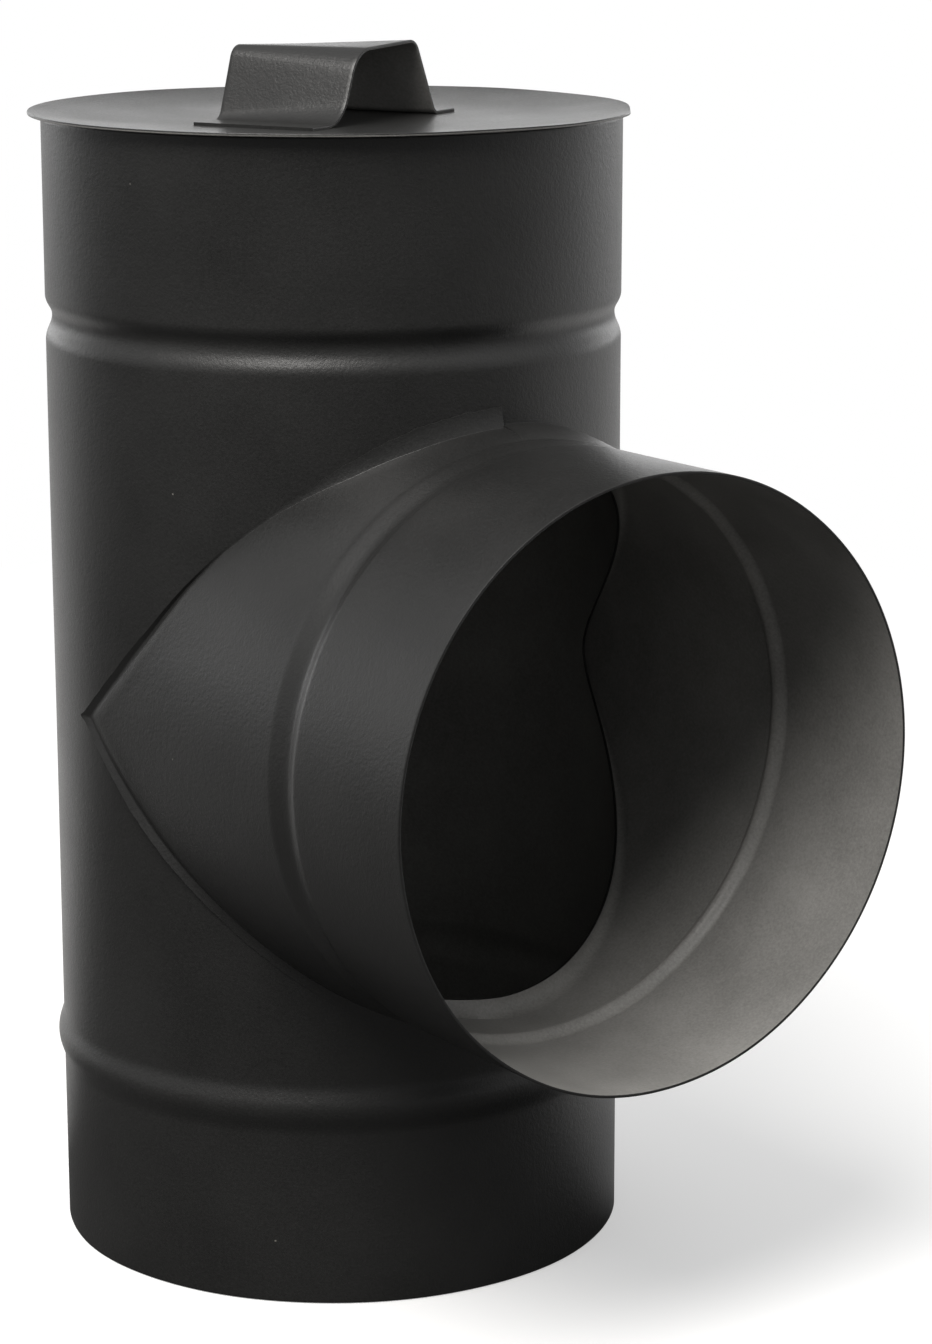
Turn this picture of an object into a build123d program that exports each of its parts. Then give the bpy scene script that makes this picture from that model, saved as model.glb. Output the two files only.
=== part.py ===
"""Flue tee: an upright stove pipe with a side branch and a lift-off cap, all of thin painted sheet.

Millimetres. +Z is up and +X runs out along the branch. The origin is the centre of the base
opening, so the part stands on z = 0.
"""
import os
from math import hypot, sqrt
from build123d import *

# Sheet
sheet = 0.7                # thickness of the rolled pipes and of the cap's disc and collar
seam_gap = 0.05            # paint-thin gap between the branch and the upright pipe

# Upright pipe, named from its base to its top
pipe_bore = 150.0          # inside diameter
spigot_length = 52.5       # base edge to the middle of the stop bead
bead_width = 14.0          # height of the stop bead along the pipe
bead_rise = 1.6            # how far the bead stands out
land_below = 21.0          # bead to the underside of the branch
land_above = 24.0          # top of the branch to the stop groove
socket_depth = 51.5        # stop groove to the open end, at the top and on the branch
groove_width = 10.6        # height of a stop groove along its pipe
groove_drop = 1.8          # how far a stop groove goes in

# Branch
root_relief = 0.1          # how much the branch's root is smaller in radius than the upright pipe
spigot_clearance = 0.2     # room around a spigot in the branch's socket
neck = 15.8                # wall of the upright pipe to the branch's stop groove
lip_tip = 2.8              # width of the turned-out lip at the saddle's two side tips
lip_top = 7.0              # width of the lip above the branch, on the -Y half
lip_bottom = 4.5           # width of the lip under the branch, on the -Y half
lip_step = 1.5             # how much narrower the lip is on the +Y half, at the top and bottom
hole_ledge = 2.3           # how far the hole's edge stands inside the branch's bore, above and below

# Cap
brim_overhang = 3.5        # brim beyond the upright pipe's wall
dish_depth = 2.1           # upright pipe's top edge down to the disc's flat middle
dish_margin = 1.0          # flat middle beyond the corners of the handle's feet
collar_clearance = 0.5     # room between the cap's collar and the bore
collar_stop_gap = 4.0      # collar's lower edge to the stop groove
collar_flange = 11.5       # width of the collar's flange under the floor
collar_bend = 2.0          # outside radius of the collar's bend

# Handle
strap = 0.8                # thickness of the strap
strap_width = 36.0
grip_base = 45.0           # between the legs at the floor
grip_top = 28.0            # between the legs at the top
grip_height = 20.5         # floor to the top of the strap
foot_length = 10.0
grip_bend = 4.0            # inside radius of the strap's bends
grip_turn = 24.6           # degrees from +X to the strap's width

# Worked out from the sizes above
pipe_r = pipe_bore / 2 + sheet
root_r = pipe_r - root_relief
socket_r = pipe_r + spigot_clearance + sheet
branch_z = spigot_length + land_below + root_r
pipe_top = branch_z + root_r + land_above + socket_depth
branch_stop = pipe_r + neck
branch_reach = branch_stop + socket_depth
brim_r = pipe_r + brim_overhang
floor_z = pipe_top - dish_depth + seam_gap
dish_flat = hypot(grip_base / 2 + foot_length, strap_width / 2) + dish_margin
dish_run = pipe_r - sheet - dish_flat
dish_r = (dish_run**2 + dish_depth**2) / (2 * dish_depth)
reach_all = branch_reach + pipe_top


def wall_edges(radius, rings, length, inset):
    """Lines and rounded rings of one side of a pipe's wall, from its start to its end."""
    edges = []
    at, r = 0.0, radius - inset
    for centre, width, rise, radius_after in rings:
        r_after = radius_after - inset
        foot, head = (r, centre - width / 2), (r_after, centre + width / 2)
        crest = (r + rise, centre)
        edges.append(Line((r, at), foot))
        edges.append(Spline(foot, crest, head, tangents=[(0, 1), (0, 1), (0, 1)]))
        at, r = head[1], r_after
    edges.append(Line((r, at), (r, length)))
    return edges


def rolled_pipe(radius, rings, length):
    """A pipe of the sheet's thickness along +Z, with pressed rings in its wall."""
    outer = wall_edges(radius, rings, length, 0.0)
    inner = wall_edges(radius, rings, length, sheet)
    ends = [Line(outer[0] @ 0, inner[0] @ 0), Line(outer[-1] @ 1, inner[-1] @ 1)]
    section = make_face(Plane.XZ * Curve(children=outer + inner + ends))
    return revolve(section, Axis.Z)


def along_x(radius, length):
    """A solid cylinder along the branch, from the upright pipe's axis outward."""
    return Pos(0, 0, branch_z) * Rot(0, 90, 0) * Cylinder(
        radius, length, align=(Align.CENTER, Align.CENTER, Align.MIN))


def upright(radius):
    """A solid cylinder on the upright pipe's axis, longer than the pipe."""
    return Pos(0, 0, pipe_top / 2) * Cylinder(radius, 2 * pipe_top)


def half_wedge(apex_x, side, rise, fall):
    """Wedge that opens along +X with the stated slopes, on the -Y (side -1) or +Y (side 1) half."""
    end_x = apex_x + reach_all
    corners = [(apex_x, 0), (end_x, rise * reach_all), (end_x, -fall * reach_all)]
    face = Pos(0, 0, branch_z) * make_face(Plane.XZ * Polyline(*corners, close=True))
    return extrude(face, reach_all, dir=(0, side, 0))


def lip_wedge(side, step):
    """Wedge around one half of the saddle, as wide as the lip there."""
    run = pipe_r + lip_tip
    rise = (root_r + lip_top - step) / run
    fall = (root_r + lip_bottom - step) / run
    return half_wedge(-lip_tip, side, rise, fall)


def build_main_pipe():
    """Upright pipe with its bead, its groove and the branch's hole."""
    bead = (spigot_length, bead_width, bead_rise, pipe_r)
    groove = (pipe_top - socket_depth, groove_width, -groove_drop, pipe_r)
    pipe = rolled_pipe(pipe_r, [bead, groove], pipe_top)
    bore_r = root_r - sheet
    outline = Plane.YZ * Ellipse(bore_r, bore_r - hole_ledge)
    hole = Pos(0, 0, branch_z) * extrude(outline, reach_all)
    return pipe - hole


def build_branch_pipe():
    """Side pipe cut to the upright pipe, with its turned-out lip and its socket."""
    groove = (branch_stop, groove_width, -groove_drop, socket_r)
    pipe = Pos(0, 0, branch_z) * Rot(0, 90, 0) * rolled_pipe(root_r, [groove], branch_reach)
    seat_r = pipe_r + seam_gap
    shell = upright(seat_r + sheet) - upright(seat_r)
    lip = shell & (lip_wedge(-1, 0) + lip_wedge(1, lip_step))
    lip = lip - along_x(root_r - sheet, branch_reach)
    return (pipe - upright(seat_r)) + lip


def dish_rise(radius):
    """Rise of the disc's curve over its flat middle, at a radius."""
    return dish_r - sqrt(dish_r**2 - (radius - dish_flat) ** 2)


def bent_sheet(points, bend, thickness, side):
    """Closed section of a sheet that follows a bent line, thickened to one side."""
    line = FilletPolyline(*points, radius=bend)
    return make_face(offset(line, amount=thickness, side=side))


def build_lid_plate():
    """Cap's disc: a flat middle and a shallow curve up to the brim, which rests on the pipe's top edge."""
    middle = Line((0, floor_z), (dish_flat, floor_z))
    curve = TangentArc(middle @ 1, (brim_r, floor_z + dish_rise(brim_r)), tangent=middle % 1)
    section = make_face(offset(Wire([middle, curve]), amount=sheet, side=Side.LEFT))
    return revolve(Plane.XZ * section, Axis.Z)


def build_lid_collar():
    """Cap's ring: a flange that touches the disc's underside, turned down into the bore."""
    wall_r = pipe_r - sheet - collar_clearance
    flange_z = floor_z + dish_rise(wall_r - collar_flange) - seam_gap
    low_z = pipe_top - socket_depth + groove_width / 2 + collar_stop_gap
    points = [(wall_r - collar_flange, flange_z), (wall_r, flange_z), (wall_r, low_z)]
    section = bent_sheet(points, collar_bend, sheet, Side.RIGHT)
    return revolve(Plane.XZ * section, Axis.Z)


def build_lid_handle():
    """Cap's strap handle: two feet, two sloping legs and a flat top."""
    seat_z = floor_z + sheet
    top_z = seat_z + grip_height - strap
    half = [(grip_base / 2 + foot_length, seat_z), (grip_base / 2, seat_z), (grip_top / 2, top_z)]
    points = half + [(-x, z) for x, z in reversed(half)]
    section = bent_sheet(points, grip_bend, strap, Side.RIGHT)
    bent = extrude(Plane.XZ * section, strap_width / 2, both=True)
    return Rot(0, 0, grip_turn + 90) * bent


def main():
    """Builds every piece and writes it to its own file."""
    os.makedirs("parts", exist_ok=True)
    pieces = {
        "main_pipe": build_main_pipe(),
        "branch_pipe": build_branch_pipe(),
        "lid_plate": build_lid_plate(),
        "lid_collar": build_lid_collar(),
        "lid_handle": build_lid_handle(),
    }
    for name, piece in pieces.items():
        export_step(piece, f"parts/{name}.step")


if __name__ == "__main__":
    main()
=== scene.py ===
"""Looks of a black stove-pipe tee with a lift-off cap.

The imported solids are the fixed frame. Every sheet piece is built here as a fine mesh over its own solid, then
painted. Sizes are in millimetres until a mesh is written, +Z is up and +X runs out along the branch.
"""
import logging
import math
from dataclasses import dataclass
from enum import Enum
from typing import ClassVar

import bmesh
import bpy
import numpy as np
from mathutils import Matrix, Vector


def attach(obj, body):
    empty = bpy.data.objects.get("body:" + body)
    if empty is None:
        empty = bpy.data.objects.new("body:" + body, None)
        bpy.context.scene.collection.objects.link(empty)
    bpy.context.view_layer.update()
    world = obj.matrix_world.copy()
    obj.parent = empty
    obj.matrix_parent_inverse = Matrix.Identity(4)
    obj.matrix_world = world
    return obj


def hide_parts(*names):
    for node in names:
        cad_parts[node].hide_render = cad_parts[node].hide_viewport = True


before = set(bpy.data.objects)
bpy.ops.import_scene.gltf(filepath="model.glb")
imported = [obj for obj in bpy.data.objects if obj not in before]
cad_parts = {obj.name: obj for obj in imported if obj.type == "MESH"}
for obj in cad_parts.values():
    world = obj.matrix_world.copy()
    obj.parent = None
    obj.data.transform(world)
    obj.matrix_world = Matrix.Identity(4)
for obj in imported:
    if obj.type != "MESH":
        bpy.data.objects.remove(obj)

LOG = logging.getLogger("flue_tee")
MM = 0.001
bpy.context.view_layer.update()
MOTTLE = (0.7, 1.35)    # span of a finish's clouds and grain added together
Row = tuple[float, ...]


class Body(Enum):
    """Bodies of the frame that a piece can ride on."""

    TEE = "tee"
    CAP = "cap"


class Slot(Enum):
    """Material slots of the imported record."""

    PIPE = "pipe_paint"
    CAP = "cap_paint"


class Side(Enum):
    """Face of a sheet; the value is the place of its material on the mesh."""

    OUTSIDE = 0
    INSIDE = 1
    LEDGE = 2


def smooth(t: np.ndarray) -> np.ndarray:
    """Soft ramp from 0 to 1.

    Args:
        t: Place along the ramp, cut to 0 and 1.

    Returns:
        The ramp's height, flat at both ends.
    """
    u = np.clip(t, 0.0, 1.0)
    return u * u * (3.0 - 2.0 * u)


def ramp(t: np.ndarray, ends: float) -> np.ndarray:
    """Straight ramp from 0 to 1 with rounded ends.

    Args:
        t: Place along the ramp, cut to 0 and 1.
        ends: Share of the ramp that each rounded end takes.

    Returns:
        The ramp's height.
    """
    u = np.clip(t, 0.0, 1.0)
    low, high = u**2 / (2 * ends), 1.0 - ends - (1.0 - u) ** 2 / (2 * ends)
    middle = u - ends / 2
    return np.where(u < ends, low, np.where(u > 1 - ends, high, middle)) / (1 - ends)


def ripple(turn: np.ndarray, along: np.ndarray, seed: int) -> np.ndarray:
    """Long, shallow unevenness of rolled sheet.

    Args:
        turn: Angle round the pipe, in radians.
        along: Place along the pipe, in millimetres.
        seed: Start of the fixed random choice of waves.

    Returns:
        Height of the waves, roughly from -1 to 1.
    """
    rng = np.random.default_rng(seed)
    total = np.zeros(np.broadcast(turn, along).shape)
    for _ in range(9):
        waves = int(rng.integers(2, 11))
        pitch = rng.uniform(-1.0, 1.0) / rng.uniform(40.0, 140.0)
        total = total + np.sin(waves * turn + 2 * np.pi * (pitch * along + rng.uniform())) / 4.0
    return total


def raw_edge(sheet: float, edge: float) -> list[tuple[float, float]]:
    """Points round the slightly rounded raw edge of a sheet.

    Args:
        sheet: Thickness.
        edge: Rounding of the edge's two corners.

    Returns:
        Depth under the outside face and setback from the end of each point, from the outside to the inside.
    """
    steps = [(0.0, edge), (0.29 * edge, 0.29 * edge), (edge, 0.0)]
    return steps + [(sheet - depth, back) for depth, back in reversed(steps)]


def grey(level: float) -> tuple[float, float, float, float]:
    """Opaque grey of that level."""
    return (level, level, level, 1.0)


@dataclass(frozen=True)
class Ring:
    """A rounded ring pressed into a pipe's wall."""

    centre: float       # place along the pipe
    lead_in: float      # length of the flank before the centre
    lead_out: float     # length of the flank after it
    rise: float         # height of the ring over the wall before it, minus for a groove
    before: float       # outside radius of the wall before the ring
    after: float        # and after it
    ends: float = 0.5   # share of a flank that each rounded end takes

    def radius(self, along: np.ndarray) -> np.ndarray:
        """Radius of the wall at each place along the pipe.

        Args:
            along: Places along the pipe, in millimetres.

        Returns:
            The wall's outside radius there.
        """
        crest = self.before + self.rise
        rising = self.before + self.rise * ramp(1 - (self.centre - along) / self.lead_in, self.ends)
        falling = crest + (self.after - crest) * ramp((along - self.centre) / self.lead_out, self.ends)
        return np.where(along < self.centre, rising, falling)

    def places(self, count: int) -> np.ndarray:
        """Even places along the pipe, from the ring's start to its end."""
        return np.linspace(self.centre - self.lead_in, self.centre + self.lead_out, count)


class Bench:
    """Nodes of a material or of the world, with short calls for adding and joining them."""

    def __init__(self, owner: bpy.types.Material | bpy.types.World) -> None:
        """Opens the owner's nodes and clears them.

        Args:
            owner: Material or world that the nodes belong to.
        """
        owner.use_nodes = True
        self.owner = owner
        self.tree = owner.node_tree
        self.tree.nodes.clear()

    def add(self, kind: str, inputs: dict[str, object] | None = None, **settings: object) -> bpy.types.Node:
        """Adds a node.

        Args:
            kind: Blender's name of the node type.
            inputs: Values of its sockets, or output sockets to join to them.
            **settings: Properties of the node itself.

        Returns:
            The new node.
        """
        node = self.tree.nodes.new(kind)
        for key, value in settings.items():
            setattr(node, key, value)
        for key, value in (inputs or {}).items():
            socket = node.inputs[int(key)] if key.isdigit() else node.inputs[key]
            if isinstance(value, bpy.types.NodeSocket):
                self.tree.links.new(value, socket)
            else:
                socket.default_value = value
        return node

    def noise(
        self, where: bpy.types.NodeSocket, scale: float, detail: float, rough: float
    ) -> bpy.types.NodeSocket:
        """Adds cloudy noise.

        Args:
            where: Coordinates in metres.
            scale: Clouds in a metre.
            detail: Octaves.
            rough: Strength of the finer octaves.

        Returns:
            The noise, from 0 to 1.
        """
        made = {"Vector": where, "Scale": scale, "Detail": detail, "Roughness": rough}
        return self.add("ShaderNodeTexNoise", made).outputs["Fac"]

    def span(
        self, value: bpy.types.NodeSocket, ends: tuple[float, float], out: tuple[float, float]
    ) -> bpy.types.NodeSocket:
        """Maps a varying value from one span to another.

        Args:
            value: The value to map.
            ends: Span that it comes from.
            out: Span that it goes to.

        Returns:
            The mapped value.
        """
        made = {"Value": value, "From Min": ends[0], "From Max": ends[1], "To Min": out[0], "To Max": out[1]}
        return self.add("ShaderNodeMapRange", made, clamp=True).outputs["Result"]

    def blend(self, part: bpy.types.NodeSocket, low: object, high: object) -> bpy.types.NodeSocket:
        """Mixes two colours by a varying share.

        Args:
            part: Share of the second colour.
            low: First colour, or a socket that gives it.
            high: Second colour, or a socket that gives it.

        Returns:
            The mixed colour.
        """
        made = {"0": part, "6": low, "7": high}
        return self.add("ShaderNodeMix", made, data_type="RGBA").outputs[2]

    def backdrop_rays(self) -> bpy.types.NodeSocket:
        """Tells the rays that show the backdrop from those that light the object.

        Returns:
            1 for rays from the camera or through glass, and 0 for the rest.
        """
        path = self.add("ShaderNodeLightPath").outputs
        made = {"0": path["Is Camera Ray"], "1": path["Is Transmission Ray"]}
        return self.add("ShaderNodeMath", made, operation="MAXIMUM").outputs[0]


@dataclass(frozen=True)
class StovePaint:
    """Sprayed matte stove paint with a fine grain and a few stray specks."""

    name: str
    deep: tuple[float, float, float] = (0.0085, 0.0085, 0.0082)
    light: tuple[float, float, float] = (0.0175, 0.0175, 0.017)
    speck: tuple[float, float, float] = (0.22, 0.21, 0.19)
    smoothest: float = 0.34
    roughest: float = 0.45
    grain: float = 0.00014          # height of the grain, in metres
    grain_scale: float = 1500.0
    peel: float = 0.0001            # height of the coarser sprayed skin, in metres
    peel_scale: float = 640.0
    cloud_scale: float = 22.0
    speck_cells: float = 95.0       # places in a metre that may hold a speck

    def material(self) -> bpy.types.Material:
        """Builds the paint's nodes.

        Returns:
            The finished material.
        """
        bench = Bench(bpy.data.materials.new(self.name))
        where = bench.add("ShaderNodeTexCoord").outputs["Object"]
        cloud = bench.noise(where, self.cloud_scale, 3.0, 0.55)
        grain = bench.noise(where, self.grain_scale, 3.0, 0.65)
        peel = bench.noise(where, self.peel_scale, 2.0, 0.5)
        mottle = bench.add("ShaderNodeMath", {"0": cloud, "1": grain}, operation="ADD").outputs[0]
        tone = bench.blend(bench.span(mottle, MOTTLE, (0.0, 1.0)), (*self.deep, 1.0), (*self.light, 1.0))
        cell = bench.add("ShaderNodeTexVoronoi", {"Vector": where, "Scale": self.speck_cells}, feature="F1")
        near = bench.span(cell.outputs["Distance"], (0.016, 0.034), (1.0, 0.0))
        pick = bench.add("ShaderNodeSeparateColor", {"Color": cell.outputs["Color"]}).outputs["Red"]
        few = bench.span(pick, (0.90, 0.93), (0.0, 0.8))
        dust = bench.add("ShaderNodeMath", {"0": near, "1": few}, operation="MULTIPLY").outputs[0]
        colour = bench.blend(dust, tone, (*self.speck, 1.0))
        gloss = bench.span(mottle, MOTTLE, (self.smoothest, self.roughest))
        skin = bench.add("ShaderNodeBump", {"Height": peel, "Strength": 0.5, "Distance": self.peel})
        fine = bench.add(
            "ShaderNodeBump",
            {"Height": grain, "Strength": 0.5, "Distance": self.grain, "Normal": skin.outputs["Normal"]},
        )
        shader = bench.add(
            "ShaderNodeBsdfPrincipled",
            {"Base Color": colour, "Roughness": gloss, "Normal": fine.outputs["Normal"], "IOR": 1.5},
        )
        bench.add("ShaderNodeOutputMaterial", {"Surface": shader.outputs["BSDF"]})
        return bench.owner


@dataclass(frozen=True)
class InnerSheet:
    """Bare rolled sheet inside the pipes, dulled by a thin dusting of the paint."""

    name: str
    dark: tuple[float, float, float] = (0.147, 0.145, 0.138)
    pale: tuple[float, float, float] = (0.26, 0.255, 0.244)
    smoothest: float = 0.42
    roughest: float = 0.60
    grain: float = 0.00012          # height of the grain, in metres
    grain_scale: float = 1300.0
    cloud_scale: float = 30.0

    def material(self) -> bpy.types.Material:
        """Builds the sheet's nodes.

        Returns:
            The finished material.
        """
        bench = Bench(bpy.data.materials.new(self.name))
        where = bench.add("ShaderNodeTexCoord").outputs["Object"]
        cloud = bench.noise(where, self.cloud_scale, 4.0, 0.6)
        grain = bench.noise(where, self.grain_scale, 3.0, 0.65)
        mottle = bench.add("ShaderNodeMath", {"0": cloud, "1": grain}, operation="ADD").outputs[0]
        colour = bench.blend(bench.span(mottle, MOTTLE, (0.0, 1.0)), (*self.dark, 1.0), (*self.pale, 1.0))
        gloss = bench.span(mottle, MOTTLE, (self.smoothest, self.roughest))
        bump = bench.add("ShaderNodeBump", {"Height": grain, "Strength": 0.5, "Distance": self.grain})
        shader = bench.add(
            "ShaderNodeBsdfPrincipled",
            {"Base Color": colour, "Roughness": gloss, "Normal": bump.outputs["Normal"], "IOR": 1.5},
        )
        bench.add("ShaderNodeOutputMaterial", {"Surface": shader.outputs["BSDF"]})
        return bench.owner


class SheetMesh:
    """Strips of points gathered into one welded, smooth mesh."""

    WELD: ClassVar[float] = 2e-6        # points closer than this are one, in metres
    SLIVER: ClassVar[float] = 1e-7      # edges shorter than this are dropped, in metres
    SHARP: ClassVar[float] = 38.0       # bends over this many degrees stay crisp

    def __init__(self, name: str) -> None:
        """Opens an empty mesh.

        Args:
            name: Name of the piece.
        """
        self.name = name
        self.points: list[np.ndarray] = []
        self.quads: list[np.ndarray] = []
        self.sides: list[np.ndarray] = []
        self.count = 0

    def strip(self, grid: np.ndarray, side: Side) -> None:
        """Adds a grid of points as faces.

        Args:
            grid: Points in millimetres, as rows by columns by 3.
            side: Face of the sheet that they lie on.
        """
        rows, cols = grid.shape[:2]
        index = self.count + np.arange(rows * cols).reshape(rows, cols)
        corners = (index[:-1, :-1], index[:-1, 1:], index[1:, 1:], index[1:, :-1])
        quads = np.stack(corners, axis=-1).reshape(-1, 4)
        self.points.append(grid.reshape(-1, 3))
        self.quads.append(quads)
        self.sides.append(np.full(len(quads), side.value))
        self.count += rows * cols

    def build(self, paints: list[bpy.types.Material], body: Body, slot: Slot, node: str) -> bpy.types.Object:
        """Welds the strips and puts the piece on its body.

        Args:
            paints: Materials in the order of the sheet's faces.
            body: Body that the piece rides on.
            slot: Record slot of the piece; not used.
            node: Solid that it stands for.

        Returns:
            The finished piece.
        """
        mesh = bpy.data.meshes.new(self.name)
        mesh.from_pydata((np.concatenate(self.points) * MM).tolist(), [], np.concatenate(self.quads).tolist())
        mesh.polygons.foreach_set("material_index", np.concatenate(self.sides).astype(np.int32))
        work = bmesh.new()
        work.from_mesh(mesh)
        bmesh.ops.remove_doubles(work, verts=work.verts, dist=self.WELD)
        bmesh.ops.dissolve_degenerate(work, edges=work.edges, dist=self.SLIVER)
        bmesh.ops.recalc_face_normals(work, faces=work.faces)
        work.to_mesh(mesh)
        work.free()
        mesh.shade_smooth()
        mesh.set_sharp_from_angle(angle=math.radians(self.SHARP))
        piece = bpy.data.objects.new(self.name, mesh)
        bpy.context.scene.collection.objects.link(piece)
        for paint in paints:
            mesh.materials.append(paint)
        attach(piece, body.value)
        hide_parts(node)
        return piece


@dataclass
class UprightPipe:
    """Upright pipe: rolled sheet with a stop bead, a stop groove and the branch's hole."""

    radius: float = 75.7
    sheet: float = 0.7
    height: float = 300.2
    branch_z: float = 149.1
    hole: float = 74.87             # half width of the hole
    hole_tall: float = 70.6         # half height of the hole
    bore: float = 75.2              # half height at which the branch's bore meets the pipe
    ledge_full: float = 2.5         # width over which the hole's ledge gets its full form
    near_from: float = 3.0          # where the near half's form of the ledge starts to fade in
    near_run: float = 14.0
    pushed_in: float = 1.5
    fillet: float = 4.5
    bead: Ring = Ring(52.5, 7.0, 7.2, rise=1.5, before=75.7, after=75.7, ends=0.36)
    groove: Ring = Ring(248.7, 6.8, 5.3, rise=-1.75, before=75.7, after=75.7, ends=0.42)
    unevenness: float = 0.07
    seam: float = 0.22              # height of the weld down the back
    seam_width: float = 0.8
    edge: float = 0.12

    def angles(self) -> np.ndarray:
        """Places the columns, closer at the hole's ends and at the seam.

        Returns:
            Their angles, in radians.
        """
        end = math.degrees(math.asin(self.hole / self.radius))
        even = np.linspace(-180.0, 180.0, 361)
        tips = [s * (end - d) for s in (-1, 1) for d in (0.0, 0.1, 0.4)]
        weld = [s * (180.0 - d) for s in (-1, 1) for d in (0.25, 0.5, 0.75, 1.25)]
        return np.radians(np.unique(np.concatenate([even, tips, weld, [-0.04]])))

    def face(self, turn: np.ndarray, z: np.ndarray, inset: float) -> np.ndarray:
        """Points on the wall.

        Args:
            turn: Angles of the points, in radians.
            z: Heights of the points.
            inset: Depth under the outside face.

        Returns:
            The points, in the shape that the angles and heights make together.
        """
        turn, z = np.broadcast_arrays(turn, z)
        ring = self.bead.radius(z) + self.groove.radius(z) - self.radius
        back = np.pi - np.abs(turn)
        weld = self.seam * np.exp(-((back * self.radius / self.seam_width) ** 2))
        r = ring + self.unevenness * ripple(turn, z, 4) + weld - inset
        return np.stack([r * np.cos(turn), r * np.sin(turn), z], axis=-1)

    def hole_rise(self, turn: np.ndarray, tall: float) -> np.ndarray:
        """Half height of an oval round the branch's axis at each angle.

        Args:
            turn: Angles of the columns.
            tall: Half height of the oval in its middle.

        Returns:
            The half height, 0 where the oval doesn't reach.
        """
        y = self.radius * np.sin(turn)
        rise = tall * np.sqrt(np.maximum(0.0, 1.0 - (y / self.hole) ** 2))
        return np.where(np.cos(turn) > 0, rise, 0.0)

    def rim(self, turn: np.ndarray, z: float, up: int) -> np.ndarray:
        """Rounded raw edge of the sheet at one end of the pipe.

        Args:
            turn: Angles of the columns.
            z: Height of the end.
            up: 1 for the top end and -1 for the base.

        Returns:
            Points from the outside face to the inside face.
        """
        steps = raw_edge(self.sheet, self.edge)
        return np.stack([self.face(turn, np.full_like(turn, z - up * back), depth) for depth, back in steps])

    def ledge(self, mesh: SheetMesh, turn: np.ndarray, sign: int) -> None:
        """Adds the hole's edge inside the branch's bore: pushed in on the near half, filled on the far half.

        Args:
            mesh: Mesh that it goes into.
            turn: Angles of the columns across the hole.
            sign: 1 for the edge above the branch's axis and -1 for the one below.
        """
        wide = self.hole_rise(turn, self.bore) - self.hole_rise(turn, self.hole_tall)
        full = smooth(wide / self.ledge_full)
        near = smooth((self.near_from - turn * self.radius) / self.near_run)
        q = np.linspace(0.0, 0.5 * np.pi, 11)[:, None]
        drop = near * q / (0.5 * np.pi) + (1 - near) * (1 - np.cos(q))
        rows = self.branch_z + sign * (self.hole_rise(turn, self.bore) - wide * drop)
        inset = self.pushed_in * near * full * (1 - np.cos(q))
        outer, inner = self.face(turn, rows, inset), self.face(turn, rows, inset + self.sheet)
        outer[..., 0] += self.fillet * (1 - near) * full * (1 - np.sin(q))
        mesh.strip(outer, Side.LEDGE)
        mesh.strip(inner, Side.INSIDE)
        mesh.strip(np.stack([outer[-1], inner[-1]]), Side.OUTSIDE)

    def build(self, paints: list[bpy.types.Material]) -> bpy.types.Object:
        """Builds and dresses the pipe.

        Args:
            paints: Materials of the outside, the inside and the hole's ledge.

        Returns:
            The finished piece.
        """
        mesh = SheetMesh("upright_pipe")
        turn = self.angles()
        rise = self.hole_rise(turn, self.bore)
        bead, groove = self.bead, self.groove
        low = np.concatenate([
            [self.edge, 0.7, 3.0, 9.0, 17.0, 26.0, 35.0, 42.0],
            bead.places(25),
            [61.0, 64.0, 67.0],
        ])
        high = np.concatenate([
            [231.0, 235.0, 238.5, 240.8],
            groove.places(27),
            [255.0, 258.0, 264.0, 272.0, 281.0, 290.0, 296.0, 299.3, self.height - self.edge],
        ])
        share = np.linspace(0.0, 1.0, 15)[:, None]
        under, over = self.branch_z - rise, self.branch_z + rise
        even = np.ones_like(turn)
        lower = np.concatenate([low[:, None] * even, (low[-1] + (under - low[-1]) * share)[1:]])
        upper = np.concatenate([(over + (high[0] - over) * share)[:-1], high[:, None] * even])
        for rows in (lower, upper):
            mesh.strip(self.face(turn, rows, 0.0), Side.OUTSIDE)
            mesh.strip(self.face(turn, rows, self.sheet)[::-1], Side.INSIDE)
        mesh.strip(self.rim(turn, 0.0, -1), Side.OUTSIDE)
        mesh.strip(self.rim(turn, self.height, 1)[::-1], Side.OUTSIDE)
        across = turn[np.abs(turn) <= math.asin(self.hole / self.radius) + 1e-9]
        for sign in (-1, 1):
            self.ledge(mesh, across, sign)
        return mesh.build(paints, Body.TEE, Slot.PIPE, "main_pipe")


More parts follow.
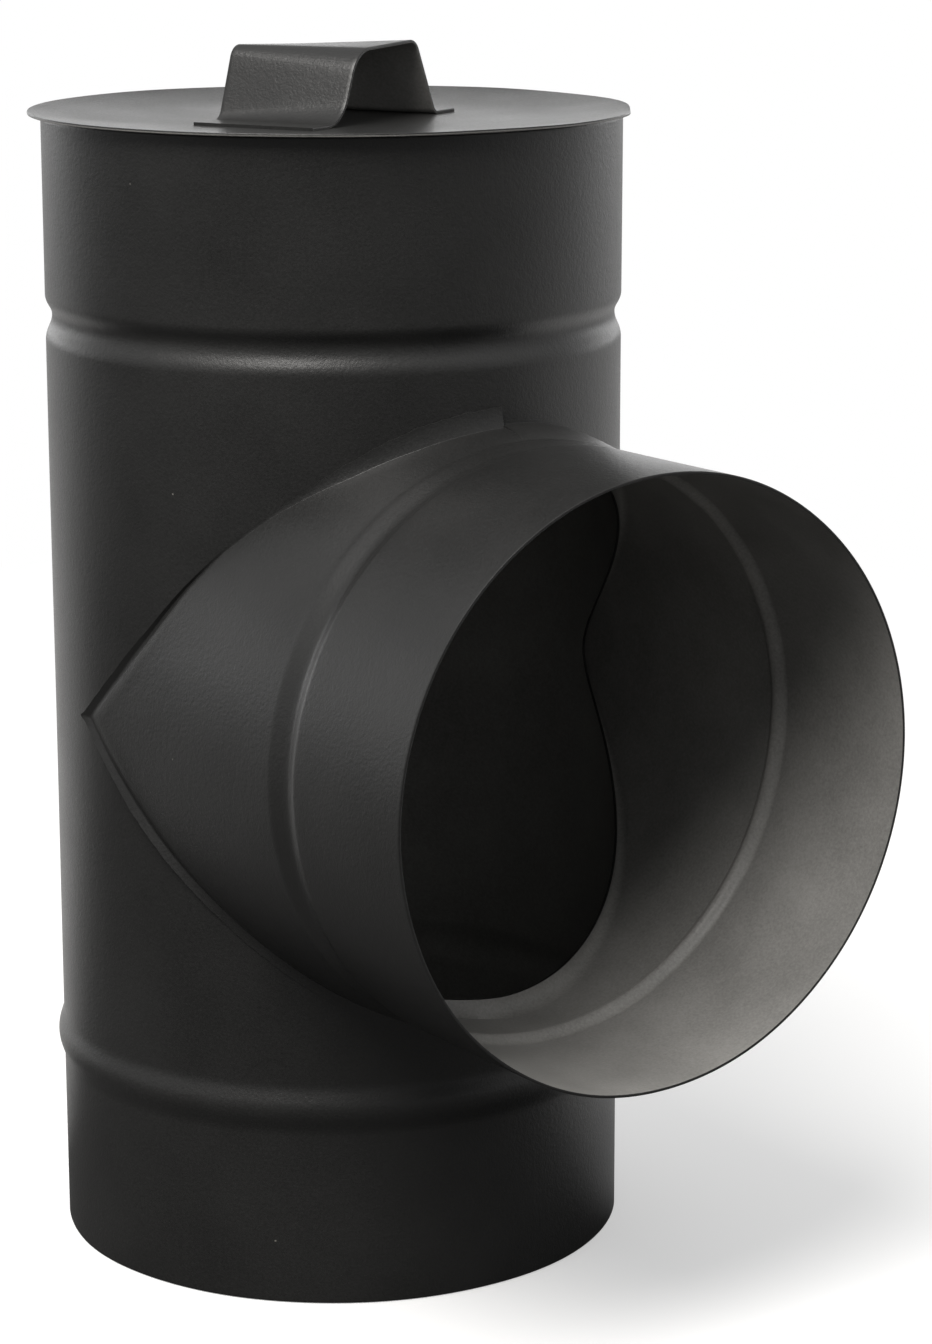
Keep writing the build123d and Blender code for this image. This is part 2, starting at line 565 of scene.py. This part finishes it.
@dataclass
class BranchPipe:
    """Side pipe: a saddle end with a flared lip on the upright pipe, a stop groove and a socket."""

    seat: float = 75.75             # radius that the lip sits on
    sheet: float = 0.7
    axis_z: float = 149.1
    root: float = 75.9              # outside radius at the saddle
    reach: float = 143.0            # upright pipe's axis to the mouth
    groove: Ring = Ring(93.4, 7.5, 5.5, rise=-1.15, before=76.3, after=76.6, ends=0.3)
    ridge: Ring = Ring(94.4, 2.5, 3.9, rise=-1.45, before=75.9, after=76.6)
    fold_ring: float = 76.46        # distance of the lip's fold from the upright pipe's axis
    stand: float = 0.2              # how far a wide lip's fold stands off, for each millimetre of width
    sag: float = 0.14               # hollow of the lip's face, for each millimetre of width
    seam_depth: float = 0.62        # how deep the far half lies in the seam's paint
    raggedness: float = 0.035
    sprung: float = 0.9             # how far the near tip's edge is sprung up
    curl: float = 0.5
    crest: float = 0.45
    unevenness: float = 0.07
    edge: float = 0.12

    # Degrees from the top, and the lip's width and its fold's extra rise there
    NEAR_AT: ClassVar[Row] = (0, 18, 30, 37, 45, 55, 62, 71, 80, 90, 110, 140, 180)
    NEAR_WIDTH: ClassVar[Row] = (5.2, 4.9, 3.4, 2.0, 0.8, 0.55, 0.6, 1.1, 2.0, 2.9, 2.7, 2.6, 2.8)
    NEAR_RISE: ClassVar[Row] = (1.9, 1.7, 2.0, 2.9, 3.9, 4.1, 3.2, 0.5, -1.0, -1.0, 0.3, 1.0, 1.4)
    FAR_WIDTH_AT: ClassVar[Row] = (0, 60, 76, 90, 105, 180)
    FAR_WIDTH: ClassVar[Row] = (0.8, 0.8, 1.2, 2.0, 1.4, 1.2)
    FAR_RISE_AT: ClassVar[Row] = (0, 20, 45, 60, 76, 90, 110, 180)
    FAR_RISE: ClassVar[Row] = (2.6, 2.8, 3.2, 2.6, 0.2, -1.0, 0.6, 1.4)

    def turns(self) -> np.ndarray:
        """Places the columns round the branch, closer at the saddle's two tips.

        Returns:
            Their angles in radians, 0 at the top and minus on the near side.
        """
        even = np.linspace(-180.0, 180.0, 481)
        tips = [s * (90.0 + d) for s in (-1, 1) for d in np.linspace(-6.0, 6.0, 33)]
        steps = [-0.04, 0.04, -179.96, 179.96]
        return np.radians(np.unique(np.round(np.concatenate([even, tips, steps]), 4)))

    def lip_width(self, turn: np.ndarray) -> np.ndarray:
        """Width of the lip at each angle: broad at the near top and tips, and all but gone on the far half.

        Args:
            turn: Angles round the branch.

        Returns:
            The lip's width, measured from its fold to its edge.
        """
        deg = np.degrees(np.abs(turn))
        near = np.interp(deg, self.NEAR_AT, self.NEAR_WIDTH)
        far = np.interp(deg, self.FAR_WIDTH_AT, self.FAR_WIDTH)
        return np.where(turn < 0, near, far)

    def fold_rise(self, turn: np.ndarray) -> np.ndarray:
        """How much further out than a plain saddle the lip's fold lies.

        Args:
            turn: Angles round the branch.

        Returns:
            The extra height over the branch's axis.
        """
        deg = np.degrees(np.abs(turn))
        near = np.interp(deg, self.NEAR_AT, self.NEAR_RISE)
        far = np.interp(deg, self.FAR_RISE_AT, self.FAR_RISE)
        return np.where(turn < 0, near, far)

    def sunk(self, turn: np.ndarray) -> np.ndarray:
        """How far the far half's lip and fold lie in the seam's paint above the branch, as a minus height."""
        return -self.seam_depth * smooth((np.cos(turn) - 0.15) / 0.3)

    def lift(self, turn: np.ndarray) -> np.ndarray:
        """How far the lip's free edge stands off: sprung up at the near tip and sunk on the far half.

        Args:
            turn: Angles round the branch.

        Returns:
            The height over a lip that lies flat.
        """
        tip = smooth((np.abs(np.sin(turn)) - 0.78) / 0.16)
        curl = np.exp(-(((np.degrees(np.abs(turn)) - 90.0) / 1.3) ** 2))
        return np.where(turn < 0, self.sprung * tip + self.curl * curl, self.sunk(turn))

    def fold(self, turn: np.ndarray) -> tuple[np.ndarray, np.ndarray, np.ndarray]:
        """Fold between the neck and the lip.

        Args:
            turn: Angles round the branch.

        Returns:
            Points of the fold, their places along the branch, and their heights over its axis.
        """
        y = (self.fold_ring - 0.01) * np.sin(turn)
        x = np.sqrt(self.fold_ring**2 - y**2)
        up = np.where(np.cos(turn) >= 0, 1.0, -1.0)
        high = np.maximum(0.0, x + self.fold_rise(turn))
        away = smooth((np.abs(np.cos(turn)) - 0.25) / 0.4)
        stand = self.stand * np.maximum(0.0, self.lip_width(turn) - 0.6) * away
        stand = np.where(turn < 0, stand, self.sunk(turn))
        n = np.stack([x, y, np.zeros_like(x)], axis=-1) / self.fold_ring
        points = np.stack([x, y, self.axis_z + up * high], axis=-1) + stand[:, None] * n
        return points, x, up * high

    def lip(self, turn: np.ndarray, inset: float) -> np.ndarray:
        """Free edge of the lip on the upright pipe.

        Args:
            turn: Angles round the branch.
            inset: Depth under the lip's outside face.

        Returns:
            Points of the edge.
        """
        _, x, high = self.fold(turn)
        width = self.lip_width(turn)
        ragged = np.sin(61 * turn) * np.sin(17 * turn + 0.7) + 0.6 * np.sin(143 * turn)
        width = width + self.raggedness * width * ragged
        side = np.abs(np.sin(turn))
        tip = smooth((side - 0.96) / 0.04)
        slant = 1.0 / np.sqrt(1.0 + side**2)
        around = width * ((1 - tip) * side * slant + 1.1 * tip)
        rise = width * slant * (1 - tip)
        spin = np.arctan2((self.fold_ring - 0.01) * np.sin(turn), x) + np.sign(turn) * around / self.fold_ring
        ring = self.seat + self.sheet - inset + self.lift(turn)
        up = np.where(np.cos(turn) >= 0, 1.0, -1.0)
        return np.stack([ring * np.cos(spin), ring * np.sin(spin), self.axis_z + high + up * rise], axis=-1)

    def wall(self, turn: np.ndarray, x: np.ndarray, inset: float) -> np.ndarray:
        """Points on the branch's wall.

        Args:
            turn: Angles round the branch.
            x: Places along it.
            inset: Depth under the outside face.

        Returns:
            The points.
        """
        turn, x = np.broadcast_arrays(turn, x)
        ring = self.ridge if inset > self.sheet / 2 else self.groove
        r = ring.radius(x) + self.unevenness * ripple(turn, x, 9) - inset
        return np.stack([x, r * np.sin(turn), self.axis_z + r * np.cos(turn)], axis=-1)

    def neck(self, turn: np.ndarray) -> np.ndarray:
        """Outside face from the lip's edge over its fold to the groove.

        Args:
            turn: Angles round the branch.

        Returns:
            Rows of points, from the lip's edge inward.
        """
        fold, _, _ = self.fold(turn)
        edge = self.lip(turn, 0.0)
        start = self.groove.centre - self.groove.lead_in
        run = start - fold[:, 0]
        tip = smooth((np.abs(np.sin(turn)) - 0.8) / 0.16)
        sag = np.where(turn < 0, self.sag * self.lip_width(turn) * (1 - tip), 0.0)
        wall = np.stack([fold[:, 0], fold[:, 1], 0.0 * turn], axis=-1)
        wall = wall / np.linalg.norm(wall, axis=1, keepdims=True)

        def lip_at(share: np.ndarray) -> np.ndarray:
            """Lip's face at a share of the way from its edge to its fold."""
            return edge + (fold - edge) * share[:, None] - (sag * share * (1 - share))[:, None] * wall

        rows = [lip_at(np.full_like(turn, t)) for t in (0.0, 0.03, 0.2, 0.4, 0.6, 0.78)]
        lead = np.minimum(0.1 + 1.9 * tip, 0.3 * run)
        gap = fold - self.wall(turn, fold[:, 0], 0.0)
        out = np.stack([0.0 * turn, np.sin(turn), np.cos(turn)], axis=-1)
        crest = np.where(turn < 0, self.crest * tip, 0.0)

        def along(step: np.ndarray) -> np.ndarray:
            """Neck's face at a distance from the fold.

            Args:
                step: Distance along the branch of each column.

            Returns:
                A point for each column.
            """
            left = 1.0 - np.clip(step / run, 0.0, 1.0) ** 1.6
            swell = crest * (1 - np.exp(-step / 0.7)) * np.exp(-step / 7.0)
            swell = swell * np.clip((run - step) / 4.0, 0.0, 1.0)
            return self.wall(turn, fold[:, 0] + step, 0.0) + left[:, None] * gap + swell[:, None] * out

        before = lip_at(0.97 - 0.17 * tip)
        after = along(lead)
        for t in np.linspace(0.0, 1.0, 8):
            rows.append((1 - t) ** 2 * before + 2 * t * (1 - t) * fold + t**2 * after)
        for t in np.linspace(0.0, 1.0, 22)[1:]:
            rows.append(along(lead + (run - lead) * t))
        return np.stack(rows)

    def build(self, paints: list[bpy.types.Material]) -> bpy.types.Object:
        """Builds and dresses the branch.

        Args:
            paints: Outside and inside materials.

        Returns:
            The finished piece.
        """
        mesh = SheetMesh("branch_pipe_sheet")
        turn = self.turns()
        ring = self.groove.places(41)
        end = self.reach - self.edge
        socket = np.array([102.0, 104.0, 107.0, 113.0, 121.0, 130.0, 137.0, 141.0, 142.4, end])
        outer = np.concatenate([ring, socket])[:, None] * np.ones_like(turn)
        mesh.strip(self.neck(turn), Side.OUTSIDE)
        mesh.strip(self.wall(turn, outer, 0.0), Side.OUTSIDE)
        steps = raw_edge(self.sheet, self.edge)
        rim = [self.wall(turn, np.full_like(turn, self.reach - back), depth) for depth, back in steps]
        mesh.strip(np.stack(rim), Side.OUTSIDE)
        deep = (self.root - self.sheet) * np.sin(turn)
        start = np.sqrt(np.maximum(0.0, self.seat**2 - deep**2))
        share = np.linspace(0.0, 1.0, 18)[:-1, None]
        inner = np.concatenate([start + (ring[0] - start) * share, outer])
        face = self.wall(turn, inner, self.sheet)
        mesh.strip(face[::-1], Side.INSIDE)
        under = self.lip(turn, self.sheet - 0.03)
        mesh.strip(np.stack([face[0], under]), Side.INSIDE)
        mesh.strip(np.stack([under, self.lip(turn, 0.0)]), Side.OUTSIDE)
        return mesh.build(paints, Body.TEE, Slot.PIPE, "branch_pipe")


def rounded_line(corners: list[tuple[float, float, float]], arc: int) -> np.ndarray:
    """Line through corners that are rounded off.

    Args:
        corners: Each corner's two coordinates and its rounding radius.
        arc: Points in each rounding.

    Returns:
        Points along the line.
    """
    flat = [np.array(c[:2]) for c in corners]
    out = [flat[0]]
    for before, at, after, radius in zip(flat, flat[1:], flat[2:], [c[2] for c in corners[1:]]):
        a, b = before - at, after - at
        a, b = a / np.linalg.norm(a), b / np.linalg.norm(b)
        half = math.acos(float(np.clip(a @ b, -1, 1))) / 2
        reach = radius / math.tan(half)
        mid = (a + b) / np.linalg.norm(a + b)
        centre = at + mid * radius / math.sin(half)
        first, last = at + a * reach - centre, at + b * reach - centre
        swing = math.acos(float(np.clip(first @ last / radius**2, -1, 1)))
        for t in np.linspace(0.0, 1.0, arc):
            part = math.sin((1 - t) * swing) * first + math.sin(t * swing) * last
            out.append(centre + part / math.sin(swing))
    out.append(flat[-1])
    return np.array(out)


def split_long(line: np.ndarray, longest: float) -> np.ndarray:
    """Adds points on the long runs of a line.

    Args:
        line: Points of the line.
        longest: Longest step that may stay.

    Returns:
        The line with its added points.
    """
    out = [line[0]]
    for a, b in zip(line, line[1:]):
        n = max(1, math.ceil(float(np.linalg.norm(b - a)) / longest))
        out += [a + (b - a) * (i + 1) / n for i in range(n)]
    return np.array(out)


def sides_of(line: np.ndarray, sheet: float) -> tuple[np.ndarray, np.ndarray]:
    """The two faces of a sheet whose middle follows a line.

    Args:
        line: Points of the sheet's middle.
        sheet: Thickness.

    Returns:
        Points of the left face and of the right face.
    """
    way = np.gradient(line, axis=0)
    way = way / np.linalg.norm(way, axis=1, keepdims=True)
    left = np.stack([-way[:, 1], way[:, 0]], axis=-1)
    return line + left * sheet / 2, line - left * sheet / 2


@dataclass
class CapDisc:
    """Cap's pressed disc: a flat middle and a shallow curve up to a thin brim."""

    sheet: float = 0.7
    brim: float = 79.2
    floor_z: float = 298.15
    flat: float = 38.15             # radius of the flat middle
    curve: float = 324.3            # radius of the curve up to the brim
    wear: float = 1.5               # depth of the worn spot in the brim
    wear_at: float = 53.0           # its angle in degrees
    wear_span: float = 11.0         # its spread in degrees
    bent_down: float = 0.35         # how far the brim is bent down there
    bent_span: float = 9.0
    out_of_round: float = 0.1
    wave: float = 0.06

    def rise(self, r: np.ndarray) -> np.ndarray:
        """Rise of the disc over its flat middle.

        Args:
            r: Radii on the disc.

        Returns:
            The rise at each radius.
        """
        out = np.maximum(0.0, r - self.flat)
        return self.curve - np.sqrt(self.curve**2 - out**2)

    def build(self, paints: list[bpy.types.Material]) -> bpy.types.Object:
        """Builds and dresses the disc.

        Args:
            paints: Upper and lower materials.

        Returns:
            The finished piece.
        """
        mesh = SheetMesh("cap_disc")
        middle, curved = np.linspace(4.0, 36.0, 9), np.linspace(self.flat, 78.0, 24)
        r = np.concatenate([[0.02], middle, curved, [78.7, 79.0, self.brim - 0.1]])
        under = np.stack([r, self.floor_z + self.rise(r)], axis=-1)
        over = under + [0.0, self.sheet]
        mid = (under[-1] + over[-1]) / 2
        tip = mid + np.array([[0.07, 0.24], [0.1, 0.0], [0.07, -0.24]])
        turn = np.radians(np.linspace(-180.0, 180.0, 289))
        mesh.strip(self.turned(np.concatenate([over, tip[:2]]), turn), Side.OUTSIDE)
        mesh.strip(self.turned(np.concatenate([tip[1:], under[::-1]]), turn), Side.INSIDE)
        return mesh.build(paints, Body.CAP, Slot.CAP, "lid_plate")

    def turned(self, profile: np.ndarray, turn: np.ndarray) -> np.ndarray:
        """Turns a profile about the cap's axis, with a worn spot and slight waves in the brim.

        Args:
            profile: Radius and height of each row.
            turn: Angles of the columns.

        Returns:
            The points.
        """
        r = profile[:, :1] * np.ones_like(turn)
        off = np.degrees(turn) - self.wear_at
        worn = self.wear * np.exp(-((off / self.wear_span) ** 2))
        flat = worn + self.out_of_round * (1 + np.sin(5 * turn + 0.6))
        rim = smooth((r - 76.0) / 3.0)
        z = profile[:, 1:] + self.wave * ripple(turn, 0.0 * turn, 21) * smooth((r - 76.5) / 2.5)
        z = z - self.bent_down * np.exp(-((off / self.bent_span) ** 2)) * rim
        r = r - flat * rim
        return np.stack([r * np.cos(turn), r * np.sin(turn), z], axis=-1)


@dataclass
class CapCollar:
    """Cap's rolled ring under the disc, which plugs into the pipe's top."""

    sheet: float = 0.7
    wall_r: float = 74.5
    top_z: float = 299.05
    low_z: float = 258.0
    flange: float = 11.5
    bend: float = 1.65
    seam_turn: float = 2.2          # angle of the butt seam, in radians
    seam_depth: float = 0.12
    seam_width: float = 0.35
    unevenness: float = 0.05

    def build(self, paints: list[bpy.types.Material]) -> bpy.types.Object:
        """Builds and dresses the ring.

        Args:
            paints: Outside and inside materials.

        Returns:
            The finished piece.
        """
        mesh = SheetMesh("cap_collar_ring")
        half = self.sheet / 2
        corners = [(self.wall_r - self.flange, self.top_z - half, 0.0)]
        corners += [(self.wall_r - half, self.top_z - half, self.bend), (self.wall_r - half, self.low_z, 0.0)]
        line = split_long(rounded_line(corners, 9), 4.0)
        outer, inner = sides_of(line, self.sheet)
        seam = [-0.6, -0.3, -0.15, 0.15, 0.3, 0.6]
        turn = np.radians(np.unique(np.concatenate([np.linspace(-180, 180, 241), seam])))
        loop = np.concatenate([outer, inner[::-1], outer[:1]])
        groove = self.seam_depth * np.exp(-((turn * self.wall_r / self.seam_width) ** 2))
        waves = self.unevenness * ripple(turn, loop[:, 1:], 33)
        r = loop[:, :1] - groove + waves * (loop[:, 1:] < self.top_z - 3.0)
        z = loop[:, 1:] + 0.0 * turn
        at = turn + self.seam_turn
        grid = np.stack([r * np.cos(at), r * np.sin(at), z], axis=-1)
        cut = len(outer)
        mesh.strip(grid[: cut + 1], Side.OUTSIDE)
        mesh.strip(grid[cut:], Side.INSIDE)
        return mesh.build(paints, Body.CAP, Slot.CAP, "lid_collar")


@dataclass
class CapHandle:
    """Cap's strap handle, bent by hand: the front bend is rounder than the back one."""

    strap: float = 0.8
    width: float = 36.0
    seat_z: float = 298.85
    turn_deg: float = 24.6
    round_edge: float = 0.2

    def profile(self, corners: list[tuple[float, float, float]]) -> tuple[np.ndarray, np.ndarray]:
        """Middle line of the strap at one of its side edges.

        Args:
            corners: Corners of the line and their bends.

        Returns:
            Points along the line, and the direction out of the strap's upper side at each.
        """
        bare = rounded_line(corners, 12)
        places = np.linspace(0.0, len(bare) - 1.0, 5 * (len(bare) - 1) + 1)
        line = np.stack([np.interp(places, np.arange(len(bare)), bare[:, i]) for i in (0, 1)], axis=-1)
        way = np.gradient(line, axis=0)
        way = way / np.linalg.norm(way, axis=1, keepdims=True)
        return line, np.stack([-way[:, 1], way[:, 0]], axis=-1)

    def build(self, paints: list[bpy.types.Material]) -> bpy.types.Object:
        """Builds and dresses the handle.

        Args:
            paints: Materials of the strap's upper and under sides.

        Returns:
            The finished piece.
        """
        mesh = SheetMesh("cap_strap_handle")
        half = self.strap / 2
        # Place along the strap, height over the lid and bend of each corner, front foot first
        foot, heel = (-37.5, half, 0.0), [(22.3, half, 2.6), (32.2, half, 0.0)]
        left_end = [foot, (-25.7, half, 3.5), (-19.1, 19.0, 4.0), (12.8, 17.4, 3.5)] + heel
        right_end = [foot, (-23.6, half, 10.5), (-15.8, 18.6, 9.5), (12.6, 19.7, 4.2)] + heel
        ends = [self.profile(corners) for corners in (left_end, right_end)]
        w, e = self.width / 2, self.round_edge
        ring = [(-w, -half + e), (-w + 0.3 * e, -half + 0.3 * e), (-w + e, -half)]
        ring += [(t * w, -half) for t in np.linspace(-0.94, 0.94, 9)]
        ring += [(w - e, -half), (w - 0.3 * e, -half + 0.3 * e), (w, -half + e)]
        ring += [(x, -y) for x, y in reversed(ring)]
        ring = np.array(ring + ring[:1])
        spine = np.radians(self.turn_deg)
        across = np.array([math.cos(spine), math.sin(spine), 0.0])
        ahead = np.array([-math.sin(spine), math.cos(spine), 0.0])
        up = np.array([0.0, 0.0, 1.0])
        share = (ring[:, :1] / self.width + 0.5)[None]
        at = ends[0][0][:, None] * (1 - share) + ends[1][0][:, None] * share
        nrm = ends[0][1][:, None] * (1 - share) + ends[1][1][:, None] * share
        place = at + nrm * ring[None, :, 1:]
        grid = ring[None, :, :1] * across + place[..., :1] * ahead + (self.seat_z + place[..., 1:]) * up
        cut = len(ring) // 2
        mesh.strip(grid[:, :cut], Side.INSIDE)
        mesh.strip(grid[:, cut - 1 :], Side.OUTSIDE)
        for row in (grid[0], grid[-1]):
            mid = (len(row) - 1) // 2
            mesh.strip(np.stack([row[:mid], row[mid : 2 * mid][::-1]]), Side.OUTSIDE)
        return mesh.build(paints, Body.CAP, Slot.CAP, "lid_handle")


@dataclass(frozen=True)
class Studio:
    """Plain pale floor and soft light from a white room that is dimmer in front."""

    # Brightness of the room, from its front to its back
    front: float = 0.27
    corner: float = 0.56
    beside: float = 0.5
    behind: float = 2.5
    behind_high: float = 0.3
    overhead: float = 1.5
    room_back: tuple[float, float, float] = (-0.82, 0.57, 0.0)
    key: float = 71.0
    warmth: tuple[float, float, float] = (1.0, 0.975, 0.945)
    lamp_size: float = 1.5
    lamp_away: float = 2.4
    lamp_aim: tuple[float, float, float] = (0.05, 0.0, 0.15)
    lamp_toward: tuple[float, float, float] = (0.25, -0.49, 0.835)
    floor_near: float = 0.092
    floor_behind: float = 0.75
    floor_back: tuple[float, float, float] = (-0.616, 0.788, 0.0)
    floor_reach: float = 6.0
    floor_drop: float = 0.0002

    def room_tone(self, bench: Bench, place: bpy.types.NodeSocket, last: float) -> bpy.types.NodeSocket:
        """Brightness of the room from its front to its back.

        Args:
            bench: The world's nodes.
            place: Place between the front, 0, and the back, 1.
            last: Brightness at the back.

        Returns:
            The brightness, as a grey.
        """
        tones = bench.add("ShaderNodeValToRGB", {"Fac": place})
        tones.color_ramp.interpolation = "EASE"
        stops = tones.color_ramp.elements
        stops[0].position, stops[0].color = 0.12, grey(self.front)
        stops[1].position, stops[1].color = 0.86, grey(last)
        for position, level in ((0.30, self.corner), (0.67, self.beside)):
            stops.new(position).color = grey(level)
        return tones.outputs["Color"]

    def world(self) -> None:
        """Lights the room: bright low behind the object, dimmer in front of it and higher up behind."""
        bench = Bench(bpy.data.worlds.new("white_room"))
        bpy.context.scene.world = bench.owner
        ray = bench.add("ShaderNodeTexCoord").outputs["Generated"]
        dot = bench.add("ShaderNodeVectorMath", {"0": ray, "1": self.room_back}, operation="DOT_PRODUCT")
        place = bench.span(dot.outputs["Value"], (-1.0, 1.0), (0.0, 1.0))
        low, high = [self.room_tone(bench, place, last) for last in (self.behind, self.behind_high)]
        up = bench.add("ShaderNodeSeparateXYZ", {"0": ray}).outputs["Z"]
        tone = bench.blend(bench.span(up, (0.15, 0.27), (0.0, 1.0)), low, high)
        climb = bench.span(up, (0.1, 0.8), (1.0, self.overhead))
        room = bench.add("ShaderNodeBackground", {"Color": tone, "Strength": climb})
        white = bench.add("ShaderNodeBackground", {"Color": grey(1.0)})
        shown = {"Fac": bench.backdrop_rays(), "1": room.outputs[0], "2": white.outputs[0]}
        mix = bench.add("ShaderNodeMixShader", shown)
        bench.add("ShaderNodeOutputWorld", {"Surface": mix.outputs[0]})

    def floor(self) -> bpy.types.Object:
        """Lays the pale floor.

        Returns:
            The floor, marked as stage.
        """
        bench = Bench(bpy.data.materials.new("pale_floor"))
        where = bench.add("ShaderNodeTexCoord").outputs["Object"]
        cloud = bench.noise(where, 3.0, 2.0, 0.5)
        tone = bench.blend(cloud, grey(0.97), grey(1.0))
        lit = bench.add("ShaderNodeBsdfDiffuse", {"Color": tone})
        white = bench.add("ShaderNodeEmission")
        off = bench.add("ShaderNodeVectorMath", {"0": where}, operation="LENGTH")
        far = bench.span(off.outputs["Value"], (0.3, 0.9), (0.4, 1.0))
        seen = bench.add("ShaderNodeMixShader", {"Fac": far, "1": lit.outputs[0], "2": white.outputs[0]})
        ray = bench.add("ShaderNodeVectorMath", {"0": where}, operation="NORMALIZE").outputs["Vector"]
        dot = bench.add("ShaderNodeVectorMath", {"0": ray, "1": self.floor_back}, operation="DOT_PRODUCT")
        share = bench.span(dot.outputs["Value"], (0.05, 0.42), (0.0, 1.0))
        shade = bench.blend(share, grey(self.floor_near), grey(self.floor_behind))
        dull = bench.add("ShaderNodeBsdfDiffuse", {"Color": shade})
        shown = {"Fac": bench.backdrop_rays(), "1": dull.outputs[0], "2": seen.outputs[0]}
        mix = bench.add("ShaderNodeMixShader", shown)
        bench.add("ShaderNodeOutputMaterial", {"Surface": mix.outputs[0]})
        mesh = bpy.data.meshes.new("floor")
        r = self.floor_reach
        mesh.from_pydata([(-r, -r, 0), (r, -r, 0), (r, r, 0), (-r, r, 0)], [], [(0, 1, 2, 3)])
        floor = bpy.data.objects.new("floor", mesh)
        floor.location.z = -self.floor_drop
        mesh.materials.append(bench.owner)
        bpy.context.scene.collection.objects.link(floor)
        return floor

    def lamp(self) -> bpy.types.Object:
        """Hangs the soft key lamp high over the branch's near side.

        Returns:
            The lamp.
        """
        light = bpy.data.lights.new("key_softbox", "AREA")
        light.shape = "DISK"
        light.size = self.lamp_size
        light.energy = self.key
        light.color = self.warmth
        lamp = bpy.data.objects.new("key_softbox", light)
        toward = Vector(self.lamp_toward).normalized()
        lamp.location = Vector(self.lamp_aim) + self.lamp_away * toward
        lamp.rotation_euler = toward.to_track_quat("Z", "Y").to_euler()
        bpy.context.scene.collection.objects.link(lamp)
        return lamp


@dataclass(frozen=True)
class ViewCamera:
    """Camera at the photograph's viewing angle."""

    place: tuple[float, float, float] = (821.335, -532.89, 380.102)
    look: tuple[float, float, float] = (-0.797386, 0.558474, -0.228652)
    roll_deg: float = -0.0752
    lens: float = 99.774

    def build(self) -> bpy.types.Object:
        """Makes the camera and gives it to the scene.

        Returns:
            The camera.
        """
        data = bpy.data.cameras.new("view_camera")
        data.sensor_fit = "AUTO"
        data.sensor_width = 36.0
        data.lens = self.lens
        data.clip_start, data.clip_end = 0.01, 50.0
        camera = bpy.data.objects.new("view_camera", data)
        ahead = Vector(self.look).normalized()
        level = ahead.cross(Vector((0, 0, 1))).normalized()
        upright = level.cross(ahead)
        a = math.radians(self.roll_deg)
        right = math.cos(a) * level + math.sin(a) * upright
        up = right.cross(ahead)
        turn = Matrix((right, up, -ahead)).transposed().to_4x4()
        camera.matrix_world = Matrix.Translation(Vector(self.place) * MM) @ turn
        bpy.context.scene.collection.objects.link(camera)
        bpy.context.scene.camera = camera
        return camera


def main() -> None:
    """Builds every piece in order, then the studio and the camera."""
    logging.basicConfig(level=logging.INFO, format="%(message)s")
    bpy.context.scene.view_settings.view_transform = "Standard"
    pipe_paint = StovePaint("pipe_stove_paint").material()
    cap_paint = StovePaint("cap_stove_paint").material()
    inner = InnerSheet("inner_sheet").material()
    flue = InnerSheet("flue_sheet", (0.18, 0.177, 0.169), (0.31, 0.305, 0.292)).material()
    made = [
        UprightPipe().build([pipe_paint, flue, inner]),
        BranchPipe().build([pipe_paint, inner]),
        CapDisc().build([cap_paint, inner]),
        CapCollar().build([cap_paint, inner]),
        CapHandle().build([cap_paint, inner]),
    ]
    for piece in made:
        LOG.info("%s: %d faces", piece.name, len(piece.data.polygons))
    studio = Studio()
    studio.world()
    studio.floor()
    studio.lamp()
    ViewCamera().build()


if __name__ == "__main__":
    main()
